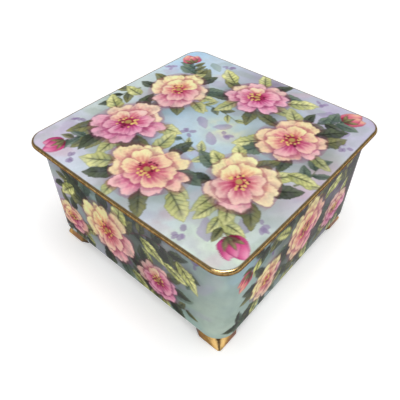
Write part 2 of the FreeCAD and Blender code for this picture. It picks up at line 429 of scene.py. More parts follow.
def draw_petal(canvas, x, y, axis, reach, half_angle, tones, squash, lean, seed):
    """One broad petal about the middle of a blossom, in strokes that run out from it and lose one edge."""
    near, u, v = canvas.local(x, y, lean, 1.25 * reach)
    v = v / squash
    r = np.hypot(u, v)
    q = np.arctan2(v, u) - (axis - lean)
    q = ((q + math.pi) % TURN - math.pi) / half_angle
    wave = canvas.fine[near]
    ruffle = 0.05 * np.sin(q * 3.2 + seed) + 0.025 * np.sin(q * 8 + 2.3 * seed) + 0.016 * wave
    limit = reach * (1 - 0.24 * np.abs(q) ** 2.4 - 0.06 * np.exp(-(q / 0.16) ** 2) + ruffle)
    limit = np.where(np.abs(q) < 1, limit * np.clip(1 - np.abs(q) ** 8, 0, 1) ** 0.5, 0.0)
    edge = limit - r
    under = np.exp(-np.clip(-edge, 0, None) / 2.6) * (np.abs(q) < 1.3) * (r < 1.06 * reach) * (edge < 0.2)
    canvas.lay(near, tones["shade"] * 0.8, 0.42 * under)
    t = r / np.maximum(limit, 1e-3)
    away = 0.5 - 0.5 * math.cos(axis - SUNWARD)
    ragged = 0.08 * wave + 0.10 * np.sin(q * 3 + seed)
    colour = mix(tones["mid"], tones["tip"], smooth(0.34, 0.92, t + ragged))
    colour = mix(colour, tones["shade"], 0.7 * away * smooth(1.0, 0.3, t))
    colour = mix(tones["deep"], colour, smooth(0.06, 0.5, t + 0.05 * wave))
    streak = 0.5 + 0.5 * np.sin(q * 14 + 1.4 * np.sin(seed + r * 0.4) + seed)
    bristle = 0.5 + 0.5 * np.sin(q * 33 + 2.0 * np.sin(seed + r * 0.3) + 5 * seed)
    colour = mix(colour, tones["deep"], 0.30 * streak ** 3 * smooth(0.85, 0.25, t))
    colour = mix(colour, tones["tip"], 0.5 * (1 - streak) ** 4 * smooth(0.3, 0.6, t))
    colour = mix(colour, tones["mid"], 0.4 * bristle ** 2 * smooth(1.0, 0.45, t))
    colour = mix(colour, tones["shade"], 0.55 * smooth(0.35, 1.0, q) * smooth(0.1, 0.5, t))
    colour = mix(colour, tones["tip"], 0.6 * smooth(-0.3, -0.9, q) * smooth(0.35, 0.8, t))
    rim = np.exp(-((edge - 0.9) / 0.8) ** 2)
    colour = mix(colour, tones["tip"], 0.55 * (1 - away) * rim)
    outline = np.exp(-(edge / 0.6) ** 2) * (0.5 + 0.5 * np.sin(q * 3 + 2 * seed))
    colour = mix(colour, tones["line"], 0.16 * outline)
    lost = 0.45 + 1.1 * smooth(0.0, 0.9, q)
    canvas.lay(near, colour, smooth(-0.35, lost, edge) * (0.93 + 0.06 * wave))


def draw_dab(canvas, x, y, angle, long, wide, colour, cover):
    near, u, v = canvas.local(x, y, angle, 1.6 * max(long, wide))
    fall = (u / long) ** 2 + (v / wide) ** 2
    canvas.lay(near, colour, cover * smooth(1.25, 0.7, fall + 0.08 * canvas.fine[near]))


def draw_blossom(canvas, x, y, radius, petals, tones, squash=0.85, lean=0.0, seed=1):
    """Open blossom: two rounds of broad petals, and stamens round a lemon eye."""
    rng = np.random.default_rng(seed)
    canvas.wash(x + 0.25 * radius, y - 0.25 * radius, 1.15 * radius, 1.0 * radius, 0.0, FOREST, 0.42)
    start = rng.uniform(0, TURN)
    for count, scale in ((petals + 1, 1.0), (petals, 0.7)):
        start += math.pi / count
        for i in list(range(0, count, 2)) + list(range(1, count, 2)):
            axis = start + TURN * i / count + rng.normal(0, 0.08)
            reach = radius * scale * rng.uniform(0.86, 1.08)
            half_angle = math.pi / count * rng.uniform(1.15, 1.4)
            sunny = np.clip(0.5 + 0.5 * math.cos(axis - SUNWARD) + rng.normal(0, 0.2), 0, 1)
            cream, pink = 0.7 * sunny ** 2, 0.7 * (1 - sunny) ** 2
            own = {}
            for part in tones:
                tinted = cream * CREAM_BLOOM[part] + pink * PINK_BLOOM[part]
                own[part] = (1 - cream - pink) * tones[part] + tinted
            draw_petal(canvas, x, y, axis, reach, half_angle, own, squash, lean, rng.uniform(0, TURN))
    near, u, v = canvas.local(x, y, lean, radius)
    r, angle = np.hypot(u, v / squash) / radius, np.arctan2(v, u)
    heart = np.exp(-(r / 0.24) ** 4) * (0.8 + 0.2 * np.sin(angle * 9 + seed))
    canvas.lay(near, tones["deep"], 0.75 * heart)
    canvas.lay(near, EYE, 0.8 * smooth(0.12, 0.06, r))
    for k in range(STAMENS):
        spin, out = rng.uniform(0, TURN), radius * rng.uniform(0.13, 0.29)
        dx, dy = out * math.cos(spin), out * math.sin(spin) * squash
        sx = x + dx * math.cos(lean) - dy * math.sin(lean)
        sy = y + dx * math.sin(lean) + dy * math.cos(lean)
        size = 0.4 + 0.014 * radius
        draw_dab(canvas, sx, sy, 0.0, size, size, POLLEN if k % 4 else FILAMENT, 0.8)


def draw_bud(canvas, x, y, angle, size, tones):
    """Half-open bud: folded petals held by sepals."""
    for turn, share, wide in ((0.42, 0.86, 0.3), (-0.42, 0.88, 0.3), (0.16, 1.0, 0.34), (-0.1, 0.8, 0.26)):
        near, u, v = canvas.local(x, y, angle + turn, 1.3 * size)
        t = np.clip(u / (size * share), 0, 1)
        half = wide * size * np.sin(math.pi * t ** 0.9) ** 0.7 * (1 + 0.06 * canvas.fine[near])
        edge = np.where((u > 0) & (u < size * share), half - np.abs(v), -1.0)
        colour = mix(tones["deep"], tones["mid"], smooth(0.05, 0.45, t + 0.1 * canvas.fine[near]))
        colour = mix(colour, tones["tip"], smooth(0.45, 0.95, t) * smooth(-0.3, 0.15, v / size) * 0.9)
        colour = mix(colour, tones["shade"], 0.6 * smooth(0.0, -0.25, v / size))
        colour = mix(colour, tones["line"], 0.35 * np.exp(-(edge / 0.6) ** 2))
        canvas.lay(near, colour, smooth(-0.3, 0.4, edge))
    for turn in (0.65, -0.6, 0.05):
        draw_leaf(canvas, x, y, angle + turn, 0.6 * size, 0.2 * size, OLIVE_LEAF, 0.95, ribs=False)


def draw_cluster(canvas, rng, x, y, size, colour, count):
    """Small faint florets, as loose dabs."""
    for _ in range(count):
        spin, out = rng.uniform(0, TURN), size * rng.uniform(0.5, 1.2)
        long, wide = size * rng.uniform(0.5, 0.75), size * rng.uniform(0.35, 0.5)
        own = colour * rng.uniform(0.9, 1.05)
        draw_dab(canvas, x + out * math.cos(spin), y + out * math.sin(spin), spin, long, wide, own, 0.55)


def draw_spray(canvas, rng, points, leaves, length, tones, cover=1.0, stem=GREEN_STEM):
    """Stem with leaves on alternate sides, smaller towards its end. Returns its end and direction."""
    line = draw_stem(canvas, points, 1.1, 0.5, stem, 0.85 * cover)
    for k in range(leaves):
        share = (k + 0.7) / leaves
        at = int(share * (len(line) - 2))
        way = line[at + 1] - line[at]
        angle = math.atan2(way[1], way[0]) + (1 if k % 2 else -1) * rng.uniform(0.55, 1.0)
        size = length * (1.15 - 0.5 * share) * rng.uniform(0.8, 1.2)
        leaf = tones[rng.integers(len(tones))]
        width = size * rng.uniform(0.42, 0.58)
        draw_leaf(canvas, *line[at], angle, size, width, leaf, cover, rng.uniform(-0.2, 0.2))
    return (*line[-1], math.atan2(way[1], way[0]))


def draw_nest(canvas, rng, x, y, radius, count, tones):
    """Leaves that show from behind a blossom."""
    start = rng.uniform(0, TURN)
    for k in range(count):
        angle = start + TURN * k / count + rng.normal(0, 0.2)
        length = radius * rng.uniform(0.7, 0.95)
        root_x, root_y = x + 0.62 * radius * math.cos(angle), y + 0.62 * radius * math.sin(angle)
        angle += rng.normal(0, 0.35)
        width = length * rng.uniform(0.42, 0.55)
        leaf = tones[k % len(tones)]
        draw_leaf(canvas, root_x, root_y, angle, length, width, leaf, 1.0, rng.uniform(-0.2, 0.2))


# Design of the lid, from its middle: place first, then sizes, angle, colours and strength
LID_SEED = 21
LID_TONE = 1.025
FLORET = tone(150, 128, 172)
LID_CLOUDS = (
    (0, 0, 30, 28, 0.3, SKY, 0.9), (6, 4, 14, 12, 0.2, CREAM_WASH, 0.8),
    (-54, -54, 30, 24, 0.8, PALE_LILAC, 0.9), (54, -54, 32, 26, -0.8, PALE_MINT, 0.95),
    (54, 54, 30, 24, 0.8, LILAC, 0.8), (-54, 54, 30, 24, -0.8, SKY, 0.8),
    (0, -58, 30, 10, 0.0, PALE_SKY, 0.7), (58, 0, 10, 26, 0.0, BLUSH, 0.5),
    (-58, 0, 10, 26, 0.0, PALE_MINT, 0.6), (0, 58, 30, 10, 0.0, MAUVE, 0.5),
    (33, 19, 14, 10, 1.1, FOREST, 0.7), (0, 38, 16, 9, 0.0, FOREST, 0.7),
    (-33, 19, 14, 10, 2.0, MOSS, 0.7), (-33, -19, 14, 10, 1.1, FOREST, 0.6),
    (0, -38, 16, 9, 0.0, MOSS, 0.6), (33, -19, 14, 10, 2.0, FOREST, 0.6))
LID_SKY_MARKS = (SKY, PALE_SKY, LILAC, PALE_MINT, SKY * 0.94)
LID_DUSK_MARKS = (PALE_LILAC, LILAC, PALE_MINT, GHOST_SAGE["light"], BLUSH)
LID_GHOSTS = (
    (-50, -44, 0.7, 13), (-44, -54, 0.9, 12), (46, -54, 2.3, 13), (54, -42, 2.0, 12),
    (54, 44, -2.3, 14), (44, 54, -2.6, 13), (-54, 42, -0.7, 13), (-42, 54, -0.5, 12),
    (10, -8, 2.4, 11), (-10, 6, -0.6, 11), (8, 10, 3.9, 10))
LID_FLORETS = (
    (-56, -34), (-34, -57), (36, -57), (57, -34), (57, 32), (30, 57), (-32, 57), (-57, 34), (-6, -8), (9, 2))
LID_SPRAYS = (
    (((30, -30), (38, -36), (42, -44), (50, -47)), 8, 13, (OLIVE_LEAF, LEMON_LEAF), 1, STEM),
    (((-30, 30), (-40, 34), (-44, 42), (-50, 46)), 8, 13, (GREY_LEAF, OLIVE_LEAF), 0.95, STEM),
    (((30, 30), (36, 40), (44, 42), (47, 50)), 8, 14, (DARK_LEAF, GREY_LEAF)),
    (((-30, -30), (-36, -40), (-44, -42), (-46, -51)), 8, 13, (GREY_LEAF, OLIVE_LEAF), 0.95, STEM),
    (((22, -12), (14, -17), (4, -17), (-6, -13)), 6, 9, (GREY_LEAF, LEMON_LEAF), 0.9),
    (((-22, 12), (-14, 18), (-4, 18), (8, 14)), 6, 9, (OLIVE_LEAF, LEMON_LEAF), 0.9),
    (((54, -6), (57, 0), (57, 8), (54, 14)), 5, 11, (LEMON_LEAF, GREY_LEAF)),
    (((-54, 6), (-57, 0), (-57, -8), (-54, -14)), 5, 11, (DARK_LEAF, OLIVE_LEAF)))
LID_BUDS = (  # at the ends of the first sprays
    (13, PINK_BLOOM), (12, ROSY_BLOOM), (13, ROSY_BLOOM), (12, PINK_BLOOM))
LID_NEST = (DARK_LEAF, LEMON_LEAF, OLIVE_LEAF, LEMON_LEAF, GREY_LEAF)
LID_LEAVES = (
    (17, -44, -0.5, 18), (-16, -45, -2.6, 18), (48, -2, 0.2, 14), (-48, 1, 3.0, 14),
    (17, 45, 0.6, 17), (-17, 44, 2.5, 17), (24, -16, 2.7, 13), (-22, 14, -0.4, 13))
LID_BLOSSOMS = (
    (1, 40, 18, 6, PINK_BLOOM, 0.86, 0.2, 17), (-36, 18, 18, 5, CREAM_BLOOM, 0.88, 2.0, 14),
    (36, 20, 19, 6, ROSY_BLOOM, 0.88, 1.1, 8), (-34, -21, 20, 6, PINK_BLOOM, 0.86, 1.1, 5),
    (35, -20, 19, 5, CREAM_BLOOM, 0.88, 2.0, 3), (-1, -40, 20, 6, ROSY_BLOOM, 0.86, 0.1, 12))



def paint_lid(canvas):
    """Wreath of six open blossoms round a clear middle, with a bud towards each corner."""
    rng = np.random.default_rng(LID_SEED)
    for cloud in LID_CLOUDS:
        canvas.wash(*cloud)
    spots = rng.uniform(-62, 62, (150, 2))
    sky = np.hypot(*spots.T) < 45
    canvas.scumble(spots[sky], LID_SKY_MARKS, rng, 0.38)
    canvas.scumble(spots[~sky], LID_DUSK_MARKS, rng, 0.36)
    for x, y, angle, length in LID_GHOSTS:
        tones = GHOST_LEAF if x > -30 else GHOST_SAGE
        draw_leaf(canvas, x, y, angle, length, 0.5 * length, tones, 0.6, 0.1, False)
    for x, y in LID_FLORETS:
        draw_cluster(canvas, rng, x, y, 2.6, FLORET, 5)
    ends = [draw_spray(canvas, rng, *spray) for spray in LID_SPRAYS]
    for end, bud in zip(ends, LID_BUDS):
        draw_bud(canvas, *end, *bud)
    for x, y, radius, *_ in LID_BLOSSOMS:
        draw_nest(canvas, rng, x, y, radius, 8, LID_NEST)
    for x, y, angle, length in LID_LEAVES:
        draw_leaf(canvas, x, y, angle, length, 0.56 * length, LEMON_LEAF, 1.0, 0.12)
    for blossom in LID_BLOSSOMS:
        draw_blossom(canvas, *blossom)
    canvas.colour *= LID_TONE
    canvas.vary()


# Design of the walls, each from its left corner and from the table, the front wall first
WALL_SEED = 33
BLOOM_SEED = 40
WALL_MIDDLE = 0.6
WALL_CONTRAST = 1.18
WALL_SHADE = 0.045
GREENS = (DARK_LEAF, OLIVE_LEAF, LEMON_LEAF, DARK_LEAF, GREY_LEAF)
DUSKY_FLORET = tone(134, 112, 154)
# pale wash down each rounded corner: a painted highlight of its glaze
CORNER_PAINTED_HIGHLIGHT = tone(186, 203, 192)
WALL_GROUND = PALE_SKY * 0.4 + MINT * 0.6
# the last cloud lies on each corner and is a painted highlight
WALL_CLOUDS = (
    (84, 22, 28, 22, 0.0, MINT, 0.8), (52, 36, 22, 14, 0.3, LILAC, 0.4),
    (0, 32, 18, 44, 0.0, CORNER_PAINTED_HIGHLIGHT, 1.0))
WALL_MARKS = (MINT, PALE_LILAC, PALE_MINT, GHOST_SAGE["dark"], LILAC)
WALL_GHOSTS = (GHOST_LEAF, GHOST_SAGE, GREY_LEAF)
WALLS = (
    {"clouds": ((8, 42, 20, 30, 0.0, PALE_LILAC, 0.9), (60, 57, 38, 12, 0.0, FOREST, 0.95),
                (62, 28, 30, 18, 0.2, MOSS, 0.6), (10, 16, 20, 14, 0.0, PALE_SKY, 0.6),
                (90, 50, 16, 14, 0.0, PLUM, 0.6), (36, 14, 22, 8, 0.0, PALE_LILAC, 0.6)),
     "blooms": ((15, 25, 12, 5, ROSY_BLOOM), (79, 26, 14, 5, PINK_BLOOM), (45, 36, 20, 6, CREAM_BLOOM)),
     "sprays": (((64, 48), (76, 58), (90, 58), (101, 42)), ((34, 50), (28, 58), (20, 58), (15, 48)),
                ((62, 22), (74, 12), (86, 12), (98, 20)), ((30, 24), (24, 14), (16, 11), (6, 14))),
     "leaves": ((92, 52, -0.9, 19), (70, 50, -0.5, 17), (24, 52, -2.4, 17),
                (60, 18, -0.6, 15), (84, 44, -0.3, 15)),
     "buds": (3,)},
    {"clouds": ((102, 40, 34, 44, 0.0, PLUM, 1.0), (82, 57, 40, 14, 0.0, PLUM, 1.0),
                (70, 32, 30, 20, 0.2, MAUVE, 0.85), (48, 56, 26, 11, 0.0, FOREST, 0.8),
                (10, 54, 14, 10, 0.0, SKY, 0.4), (62, 20, 20, 12, 0.0, MOSS, 0.6),
                (50, 36, 24, 18, 0.2, MOSS, 0.4)),
     "blooms": ((93, 27, 13, 5, PINK_BLOOM), (30, 28, 13, 5, CREAM_BLOOM), (61, 37, 18, 6, ROSY_BLOOM)),
     "sprays": (((76, 48), (84, 57), (96, 57), (106, 48)), ((46, 50), (38, 58), (26, 57), (16, 49)),
                ((74, 22), (66, 13), (56, 12), (46, 17)), ((24, 20), (20, 13), (14, 12), (8, 18)),
                ((100, 20), (104, 13), (109, 12), (113, 18))),
     "leaves": ((76, 46, 0.5, 16), (46, 47, 2.6, 16), (78, 24, -0.6, 14), (44, 24, 3.7, 14)),
     "buds": (1,)},
    {"clouds": ((30, 50, 26, 20, 0.0, MAUVE, 0.7), (58, 57, 44, 12, 0.0, FOREST, 0.9),
                (70, 26, 30, 18, 0.2, MOSS, 0.7), (100, 20, 18, 16, 0.0, LILAC, 0.7),
                (2, 40, 22, 40, 0.0, PLUM, 0.9)),
     "blooms": ((28, 28, 14, 6, PINK_BLOOM), (86, 42, 13, 5, CREAM_BLOOM), (57, 36, 19, 6, ROSY_BLOOM)),
     "sprays": (((74, 26), (84, 16), (94, 14), (106, 20)), ((40, 50), (28, 58), (18, 54), (8, 44)),
                ((94, 50), (100, 58), (106, 54), (112, 42)), ((34, 16), (24, 11), (16, 12), (8, 16))),
     "leaves": ((72, 48, 0.4, 17), (40, 20, -0.6, 15), (14, 36, 2.6, 16), (98, 34, -0.8, 15)),
     "buds": (0,)},
    {"clouds": ((84, 48, 26, 20, 0.0, MAUVE, 0.7), (54, 57, 44, 12, 0.0, FOREST, 0.9),
                (40, 24, 30, 18, 0.2, MOSS, 0.7), (12, 24, 18, 16, 0.0, SKY, 0.5)),
     "blooms": ((36, 33, 17, 6, PINK_BLOOM), (98, 24, 11, 5, ROSY_BLOOM), (70, 38, 18, 6, CREAM_BLOOM)),
     "sprays": (((24, 44), (16, 54), (10, 52), (4, 42)), ((52, 20), (60, 12), (72, 11), (84, 16)),
                ((84, 50), (92, 58), (102, 54), (110, 42)), ((24, 22), (16, 14), (10, 14), (4, 20))),
     "leaves": ((52, 52, 2.4, 17), (20, 30, 3.4, 16), (84, 30, -0.5, 16), (56, 18, -1.0, 14)),
     "buds": (1,)},
)


def paint_walls(canvas, side):
    """Trailing flowers round the four walls; side is the length of one wall."""
    rng = np.random.default_rng(WALL_SEED)
    for wall in range(len(WALLS)):
        for x, *cloud in WALL_CLOUDS:
            canvas.wash(wall * side + x, *cloud)
    for wall, design in enumerate(WALLS):
        for x, *cloud in design["clouds"]:
            canvas.wash(wall * side + x, *cloud)
    spots = rng.uniform((0, UNDERSIDE), (4 * side, RIM), (220, 2))
    canvas.scumble(spots, WALL_MARKS, rng, 0.32)
    for wall, design in enumerate(WALLS):
        paint_wall(canvas, rng, wall, design, side)
    canvas.colour = WALL_MIDDLE + WALL_CONTRAST * (canvas.colour - WALL_MIDDLE) - WALL_SHADE
    canvas.vary()


def paint_wall(canvas, rng, wall, design, side):
    """Faint leaves and florets, then the sprays, leaves and blossoms of one wall."""
    x = wall * side
    for k in range(14):
        length = rng.uniform(8, 13)
        place = x + rng.uniform(20, side - 14), rng.uniform(UNDERSIDE + 6, RIM - 8)
        angle = rng.uniform(0, TURN)
        draw_leaf(canvas, *place, angle, length, 0.5 * length, WALL_GHOSTS[k % 3], 0.5, 0.1, False)
    for _ in range(5):
        place = x + rng.uniform(14, side - 12), rng.uniform(UNDERSIDE + 6, RIM - 6)
        draw_cluster(canvas, rng, *place, 2.3, DUSKY_FLORET, 4)
    for k, points in enumerate(design["sprays"]):
        end = draw_spray(canvas, rng, [(x + s, z) for s, z in points], 9, 13, GREENS, 0.97, STEM)
        if k in design["buds"]:
            draw_bud(canvas, *end, 11, (PINK_BLOOM, ROSY_BLOOM)[wall % 2])
    for s, z, radius, *_ in design["blooms"]:
        draw_nest(canvas, rng, x + s, z, 1.1 * radius, 9, GREENS)
    for s, z, angle, length in design["leaves"]:
        bend = rng.uniform(-0.2, 0.2)
        draw_leaf(canvas, x + s, z, angle, length, 0.42 * length, LEMON_LEAF, 1.0, bend)
    for k, (s, *bloom) in enumerate(design["blooms"]):
        draw_blossom(canvas, x + s, *bloom, 0.88, 0.7 * k, BLOOM_SEED + 5 * wall + k)


# Materials

# Sockets of a Mix node by the kind of its values: share, first, second and result
MIX_SOCKETS = {"RGBA": (0, 6, 7, 2), "FLOAT": (0, 2, 3, 0)}


class Nodes:
    """Short way to add nodes to a material and link them."""

    def __init__(self, name):
        self.material = bpy.data.materials.new(name)
        self.material.use_nodes = True
        self.tree = self.material.node_tree
        self.shader = self.tree.nodes["Principled BSDF"]

    def add(self, kind, **settings):
        node = self.tree.nodes.new(kind)
        for key, value in settings.items():
            setattr(node, key, value)
        return node

    def link(self, output, target):
        self.tree.links.new(output, target)

    def give(self, socket, value):
        """Link an output to a socket, or write a value on it."""
        if isinstance(value, bpy.types.NodeSocket):
            self.link(value, socket)
        else:
            socket.default_value = value

    def feed(self, name, value):
        self.give(self.shader.inputs[name], value)

    def noise(self, scale, detail=3.0, roughness=0.55):
        place = self.add("ShaderNodeTexCoord")
        made = self.add("ShaderNodeTexNoise")
        made.inputs["Scale"].default_value = scale
        made.inputs["Detail"].default_value = detail
        made.inputs["Roughness"].default_value = roughness
        self.link(place.outputs["Object"], made.inputs["Vector"])
        return made.outputs["Fac"]

    def spread(self, value, low, high, start=0.3, end=0.7):
        made = self.add("ShaderNodeMapRange")
        self.link(value, made.inputs["Value"])
        for name, number in zip(("From Min", "From Max", "To Min", "To Max"), (start, end, low, high)):
            made.inputs[name].default_value = number
        return made.outputs["Result"]

    def blend(self, kind, share, first, second):
        """Mix of two colours or numbers, each an output or a written value."""
        made = self.add("ShaderNodeMix", data_type=kind)
        *inputs, result = MIX_SOCKETS[kind]
        for k, value in zip(inputs, (share, first, second)):
            self.give(made.inputs[k], value)
        return made.outputs[result]

    def join(self, way, first, second, clamp=False):
        """Sum, product or like of two outputs."""
        made = self.add("ShaderNodeMath", operation=way, use_clamp=clamp)
        self.link(first, made.inputs[0])
        self.link(second, made.inputs[1])
        return made.outputs[0]

    def points(self, name):
        """Values stored on the points of a mesh."""
        return self.add("ShaderNodeAttribute", attribute_name=name).outputs

    def bump(self, height, strength, distance):
        made = self.add("ShaderNodeBump")
        made.inputs["Strength"].default_value = strength
        made.inputs["Distance"].default_value = distance
        self.link(height, made.inputs["Height"])
        self.feed("Normal", made.outputs["Normal"])


BARE_CLAY = tone(228, 222, 208)
CLAY_ROUGHNESS = 0.62
GLAZE_IOR = 1.5
GLAZE_RIPPLE = 0.0006  # metres
GILT_RIPPLE = 0.0004
RIPPLE_STRENGTH = 0.08
GILT_COAT_ROUGHNESS = 0.06


def painted_porcelain():
    """Painted colours under a glossy glaze, with pooled colour, fine specks and bare ground edges."""
    n = Nodes("painted_porcelain")
    bare = n.points("Bare")["Fac"]
    mottle = n.spread(n.noise(160.0, 4.0, 0.6), 0.95, 1.04)
    grain = n.spread(n.noise(2600.0, 2.0), 0.975, 1.02)
    uneven = n.add("ShaderNodeVectorMath", operation="SCALE")
    n.link(n.points("Paint")["Color"], uneven.inputs[0])
    n.link(n.join("MULTIPLY", mottle, grain), uneven.inputs["Scale"])
    n.feed("Base Color", n.blend("RGBA", bare, uneven.outputs[0], full_colour(BARE_CLAY)))
    gloss = n.spread(n.noise(90.0, 3.0), 0.08, 0.18)
    n.feed("Roughness", n.blend("FLOAT", bare, gloss, CLAY_ROUGHNESS))
    n.feed("IOR", GLAZE_IOR)
    slant = n.add("ShaderNodeLayerWeight")
    n.feed("Specular IOR Level", n.spread(slant.outputs["Facing"], 0.5, 0.02, 0.3, 0.65))
    n.bump(n.noise(160.0, 3.0), RIPPLE_STRENGTH, GLAZE_RIPPLE)
    return n.material


def gilding(name, bright, dull, worn_and_shaded, coat):
    """Burnished gold laid by brush: brighter where it is thick and where a painted highlight lies, browner
    where it is thin, at its wear and under painted shade.
    """
    n = Nodes(name)
    streak = n.noise(700.0, 4.0, 0.6)
    # thick: brush streaks, plus the painted highlight stored on the points
    thick = n.join("ADD", n.spread(streak, -0.1, 0.5), n.points("PaintedHighlight")["Fac"], clamp=True)
    spots = n.spread(n.noise(240.0, 5.0, 0.65), 0.0, 0.7, 0.58, 0.72)
    # thin: spots of wear, plus the painted shade and darkening stored on the points
    thin = n.join("ADD", spots, n.points("WearAndShade")["Fac"], clamp=True)
    gold = n.blend("RGBA", thick, full_colour(dull), full_colour(bright))
    n.feed("Base Color", n.blend("RGBA", thin, gold, full_colour(worn_and_shaded)))
    n.feed("Metallic", 1.0)
    n.feed("Roughness", n.spread(n.noise(300.0, 4.0), 0.10, 0.24))
    n.feed("Specular Tint", full_colour(dull))
    n.feed("Coat Weight", coat)
    n.feed("Coat Roughness", GILT_COAT_ROUGHNESS)
    n.bump(streak, RIPPLE_STRENGTH, GILT_RIPPLE)
    return n.material


# Pieces

# strength of the band's painted shade underneath and painted highlight on top
BAND_PAINTED_LIGHT = 0.75
# painted shade: dark streak down each foot's corner ridge, standing for a dark reflection
RIDGE_PAINTED_SHADE = 0.95
# gold darker towards the sole
SOLE_DARKENING = 0.35
SOLE_DARKENING_HEIGHT = 0.6
# painted highlight on each foot's faces beside the ridge
FACE_PAINTED_HIGHLIGHT = 0.95
FACE_HIGHLIGHT_PLACE = 2.2  # millimetres from the ridge
FACE_HIGHLIGHT_WIDTH = 2.8
BARE_SHARE = 0.8  # how far the unglazed ring of a rim or flange shows its clay
LEAST_RADIUS = 1.0


def make_lid():
    """Lid with its painted top, its edge under the gilding, and the flange and dish below."""
    shell = Shell()
    level = LEVEL_HALF / (LID_HALF - EDGE_DEPTH)

    def rise(t, from_scale):
        share = np.clip((1 - t) / (1 - from_scale), 0, 1)
        return LID_CROWN * (1 - (1 - share) ** 2)
    border, top = shell.patch(lid_side(EDGE_DEPTH), LID_FINE, lambda t: LID_TOP + rise(t, level))
    middle, tall = (RIM + LID_TOP) / 2, (LID_TOP - RIM) / 2 - GILT
    rings = [border]
    for angle in np.linspace(QUARTER, -QUARTER, LID_EDGE_RINGS):
        inset = EDGE_DEPTH - (EDGE_DEPTH - GILT) * math.cos(angle)
        rings.append(shell.ring(lid_side(inset), LID_COARSE, middle + tall * math.sin(angle)))
    rings.append(shell.ring(lid_side(EDGE_DEPTH), LID_COARSE, RIM))
    half = BODY_HALF - WALL - FLANGE_GAP
    corner = BODY_CORNER - WALL - FLANGE_GAP
    inner_half, inner_corner = half - FLANGE_WALL, max(corner - FLANGE_WALL, LEAST_RADIUS)
    rings.append(shell.ring(square_side(half, corner), LID_COARSE, RIM))
    bare_from = shell.total
    falling = np.linspace(0, QUARTER, FLANGE_RINGS)
    for way, width, radius, angles in ((-1, half, corner, falling),
                                       (1, inner_half, inner_corner, falling[::-1])):
        for angle in angles:
            cut = way * FLANGE_ROUND * (1 - math.cos(angle))
            z = FLANGE_LOW + FLANGE_ROUND * (1 - math.sin(angle))
            rings.append(shell.ring(square_side(width + cut, radius + cut), LID_COARSE, z))
    bare_to = shell.total
    inner_level = LEVEL_HALF / inner_half
    dish, _ = shell.patch(square_side(inner_half, inner_corner), LID_COARSE,
                          lambda t: RIM + rise(t, inner_level), upward=False)
    shell.chain(rings + [dish])
    made = shell.mesh("lid_porcelain")
    places = shell.places()
    colours = np.tile(WHITE_GLAZE, (shell.total, 1))
    canvas = Canvas(places[top, 0], places[top, 1], places[top], PALE_SKY)
    paint_lid(canvas)
    colours[top] = canvas.colour
    # painted reflection: the lid top's outer ring takes the dark brown its gilt margin shows when it
    # reflects dim surroundings
    colours[border] = GILT_MARGIN_PAINTED_REFLECTION
    store_paint(made, colours, slice(bare_from, bare_to))
    return made


def make_band():
    """Skin of gold over the lid's rounded edge, with a painted highlight on its top and painted shade
    towards its underside.
    """
    shell = Shell()
    middle, tall = (RIM + LID_TOP) / 2, (LID_TOP - RIM) / 2
    rings = []
    outside = np.linspace(QUARTER, -QUARTER, BAND_OUTER_RINGS)
    for angle in outside:
        inset = EDGE_DEPTH * (1 - math.cos(angle))
        rings.append(shell.ring(lid_side(inset), BAND_CELLS, middle + tall * math.sin(angle)))
    for angle in np.linspace(-QUARTER, QUARTER, BAND_INNER_RINGS):
        inset = EDGE_DEPTH - (EDGE_DEPTH - GILT) * math.cos(angle)
        rings.append(shell.ring(lid_side(inset), BAND_CELLS, middle + (tall - GILT) * math.sin(angle)))
    shell.chain(rings + rings[:1])
    made = shell.mesh("lid_gilding")
    painted_shade, painted_highlight = np.zeros(shell.total), np.zeros(shell.total)
    for ring, angle in zip(rings, outside):
        # painted shade on the downward-facing part of the band
        painted_shade[ring] = BAND_PAINTED_LIGHT * smooth(0.3, -0.9, angle)
        # painted highlight on the upward-facing top of the band
        painted_highlight[ring] = BAND_PAINTED_LIGHT * smooth(0.5, 1.1, angle)
    value_points(made, "WearAndShade", painted_shade)
    value_points(made, "PaintedHighlight", painted_highlight)
    return made


